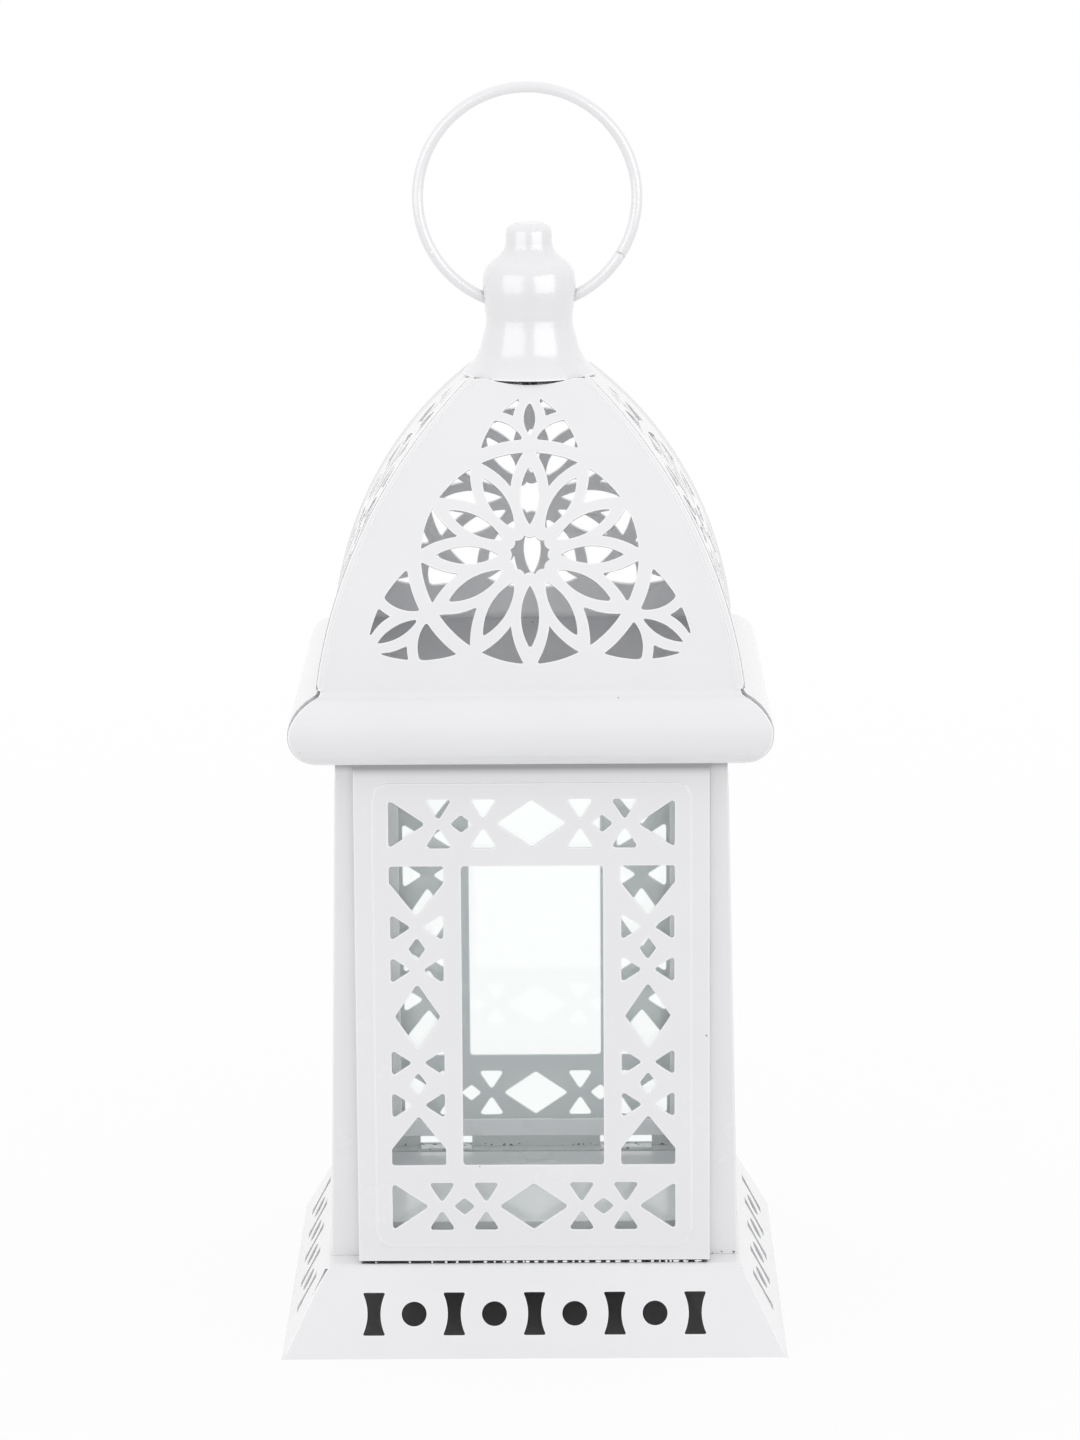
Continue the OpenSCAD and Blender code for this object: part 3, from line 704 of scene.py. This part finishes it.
def bevel_where(piece, chosen, width, segments, clamp=False):
    """Bevels the sharp edges of which chosen(start, end) is true, and gives their number."""
    mesh = piece.data
    only(piece)
    bpy.ops.object.mode_set(mode="EDIT")
    bpy.ops.mesh.select_mode(type="EDGE")
    bpy.ops.mesh.select_all(action="DESELECT")
    bpy.ops.mesh.edges_select_sharp(sharpness=SHARP_ANGLE)
    bpy.ops.object.mode_set(mode="OBJECT")
    sharp = [edge.index for edge in mesh.edges if edge.select]
    bpy.ops.object.mode_set(mode="EDIT")
    bpy.ops.mesh.select_all(action="DESELECT")
    bpy.ops.object.mode_set(mode="OBJECT")
    points = [vertex.co for vertex in mesh.vertices]
    found = 0
    for edge in (mesh.edges[index] for index in sharp):
        if chosen(*(points[i] for i in edge.vertices)):
            edge.select = True
            found += 1
    bpy.ops.object.mode_set(mode="EDIT")
    bpy.ops.mesh.bevel(offset=width, segments=segments, affect="EDGES", clamp_overlap=clamp)
    bpy.ops.object.mode_set(mode="OBJECT")
    return found


def along(direction, lengths):
    """Tells edges along a direction, of a length between two limits and away from the eyes."""
    shortest, longest = lengths

    def chosen(start, end):
        way = end - start
        if min((start - eye).length for eye in EYES) < EYE_CLEAR:
            return False
        parallel = abs(way.normalized().dot(direction)) > PARALLEL_COSINE
        return shortest < way.length < longest and parallel

    return chosen


print("rounds in mm:", [round(v / MM, 2) for v in (CORNER_ROUND, HIP_ROUND)])

# %% [markdown]
# Then all sharp edges get the small round of the paint. Flat faces keep their own direction by
# weighted normals, so that only the round shades.

# %% Round all edges
EDGE_ROUND = 0.12 * MM
EDGE_STEPS = 2
SMOOTH_ANGLE = math.radians(30)


def round_edges(piece, width, clamp):
    """Rounds all sharp edges; where cut-outs crowd, clamping keeps rounds from folding over."""
    bevel = piece.modifiers.new("round", "BEVEL")
    bevel.width = width
    bevel.segments = EDGE_STEPS
    bevel.limit_method = "ANGLE"
    bevel.angle_limit = SHARP_ANGLE
    bevel.use_clamp_overlap = clamp
    bpy.ops.object.modifier_apply(modifier=bevel.name)
    bpy.ops.object.shade_smooth_by_angle(angle=SMOOTH_ANGLE)
    even = piece.modifiers.new("even", "WEIGHTED_NORMAL")
    even.keep_sharp = True
    bpy.ops.object.modifier_apply(modifier=even.name)


print("round of the paint in mm:", round(EDGE_ROUND / MM, 2))

# %% [markdown]
# The tapering triangles between the roof's cut-outs would show as streaks in its reflections. The
# faces of its skin are therefore shaded with the direction of the round that they lie on.

# %% Shade the roof as the true curve
SKIN_COSINE = math.cos(math.radians(12))


def roof_normal(point, turn):
    """Outward direction of the roof's skin at a point, from the round that the point lies on."""
    local = turn.transposed() @ point
    out, up = -local.y, local.z
    curve = Vector((out - CURVE_MID[0], up - CURVE_MID[1]))
    eave = Vector((out - EAVE_MID[0], up - EAVE_MID[1]))
    hollow = Vector((HOLLOW_MID[0] - out, HOLLOW_MID[1] - up))
    if up > CURVE_FOOT:
        way = curve
    elif hollow.length < 2 * HOLLOW_R and up > EAVE_MID[1]:
        way = hollow
    else:
        way = eave
    way.normalize()
    return turn @ Vector((0, -way.x, way.y))


def true_roof_shading(piece, turn):
    """Gives the corners of faces on the roof's skin the direction of the real curve."""
    mesh = piece.data
    normals = [corner.vector.copy() for corner in mesh.corner_normals]
    for face in mesh.polygons:
        for corner in face.loop_indices:
            point = mesh.vertices[mesh.loops[corner].vertex_index].co
            way = roof_normal(point, turn)
            if face.normal.dot(way) < 0:
                way = -way
            if face.normal.dot(way) > SKIN_COSINE:
                normals[corner] = way
    mesh.normals_split_custom_set(normals)


print("roof panels:", list(ROOF_TURNS))

# %% [markdown]
# Each painted node now goes through these steps in turn. A roof panel and the plinth have the
# most crowded cut-outs, so only their rounds are clamped.

# %% Make the painted pieces
def painted(name):
    """The rounded and painted copy that stands for a node."""
    piece = merged_copy(name)
    for direction in CUT_DIRECTIONS.get(name, []):
        chosen = along(direction, CORNER_LENGTHS)
        corners = bevel_where(piece, chosen, CORNER_ROUND, CORNER_STEPS)
        print(name, "corners of cut-outs:", corners)
    for direction in HIP_DIRECTIONS if name == "plinth" else []:
        chosen = along(direction, HIP_LENGTHS)
        hips = bevel_where(piece, chosen, HIP_ROUND, HIP_STEPS, clamp=True)
        print(name, "hips:", hips)
    round_edges(piece, EDGE_ROUND, clamp=name in CUT_DIRECTIONS)
    if name in ROOF_TURNS:
        true_roof_shading(piece, ROOF_TURNS[name])
    piece.data.materials.clear()
    piece.data.materials.append(paint)
    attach(piece, nodes[name]["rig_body"])
    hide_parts(name)
    return piece


pieces = {name: painted(name) for name in PAINTED_NODES}
for name, piece in pieces.items():
    print(name, "faces:", len(piece.data.polygons))

# %% [markdown]
# ## Drops of paint
#
# The door's foot hangs over the plinth with a gap of 0.6 mm, and paint has dripped into it: white
# nubs break the dark line, few at the left and many at the right. A bead of paint sits on the
# ring's wire too. Each drop is a squashed ball, and the balls of a place are joined in one piece.

# %% A piece of joined drops
BALL_SEGMENTS = 16
BALL_RINGS = 10


def drops(name, places, body):
    """Joins balls, each given by its middle and its three radii, in one painted piece."""
    bpy.ops.object.select_all(action="DESELECT")
    balls = []
    for middle, radii in places:
        bpy.ops.mesh.primitive_uv_sphere_add(
            segments=BALL_SEGMENTS, ring_count=BALL_RINGS, radius=1.0, location=middle, scale=radii
        )
        balls.append(bpy.context.object)
    for ball in balls:
        ball.select_set(True)
    if len(balls) > 1:
        bpy.ops.object.join()
    piece = bpy.context.object
    piece.name = name
    bpy.ops.object.transform_apply(location=True, rotation=True, scale=True)
    bpy.ops.object.shade_smooth()
    piece.data.materials.append(paint)
    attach(piece, body)
    return piece


print("vertices of a ball:", BALL_SEGMENTS * (BALL_RINGS - 1) + 2)

# %% The drops under the door
DROP_SEED = 7
DROP_ROW = -42.15 * MM
DROP_FLOOR = 17.38 * MM
DROP_HEIGHT = 0.5 * MM
DROP_DEPTH = 0.44 * MM
HALF_LEAST = 0.2 * MM
HALF_MOST_LEFT = 0.35 * MM
HALF_MOST_RIGHT = 0.9 * MM
DARK = (0.3 * MM, 1.6 * MM)
WIDE_DARK = (8 * MM, 22 * MM)
WIDE_UNTIL = 0.35
ROW_FROM = -33.0 * MM
ROW_TO = 35.2 * MM


def row_of_drops():
    """Drops along the door's foot; the dark stretches between them get shorter to the right."""
    chance = random.Random(DROP_SEED)
    places = []
    x = ROW_FROM
    while x < ROW_TO:
        done = (x - ROW_FROM) / (ROW_TO - ROW_FROM)
        half_most = HALF_MOST_LEFT + (HALF_MOST_RIGHT - HALF_MOST_LEFT) * done
        half = chance.uniform(HALF_LEAST, half_most)
        middle = (x, DROP_ROW, DROP_FLOOR + DROP_HEIGHT / 2)
        places.append((middle, (half, DROP_DEPTH / 2, DROP_HEIGHT / 2)))
        dark = chance.uniform(*DARK) + max(0.0, WIDE_UNTIL - done) * chance.uniform(*WIDE_DARK)
        x += 2 * half + dark
    return places


door_drops = row_of_drops()
drops("drops_under_door", door_drops, "lantern")
print("drops:", len(door_drops))

# %% The bead on the ring
BEAD_ANGLE = math.radians(-150.3)
BEAD_FRONT = 1.05 * MM
BEAD_RADII = (0.45 * MM, 0.3 * MM, 0.4 * MM)
bead_at = RING_MID + RING_R * Vector((math.cos(BEAD_ANGLE), 0, math.sin(BEAD_ANGLE)))
bead_at -= Vector((0, BEAD_FRONT, 0))
drops("ring_bead", [(bead_at, BEAD_RADII)], "handle")
print("bead at:", [round(v / MM, 1) for v in bead_at])

# %% [markdown]
# ## Panes and steel pieces
#
# The panes sit in their frames with the cut edges out of sight, and the steel pieces are round
# wire or too small for their edges to show. They keep the nodes' own shape and only get a
# material.

# %% Give glass and steel their materials
for name in GLASS_NODES + STEEL_NODES:
    mesh = nodes[name].data
    mesh.materials.clear()
    mesh.materials.append(glass if name in GLASS_NODES else steel)
print("glass and steel nodes:", len(GLASS_NODES) + len(STEEL_NODES))
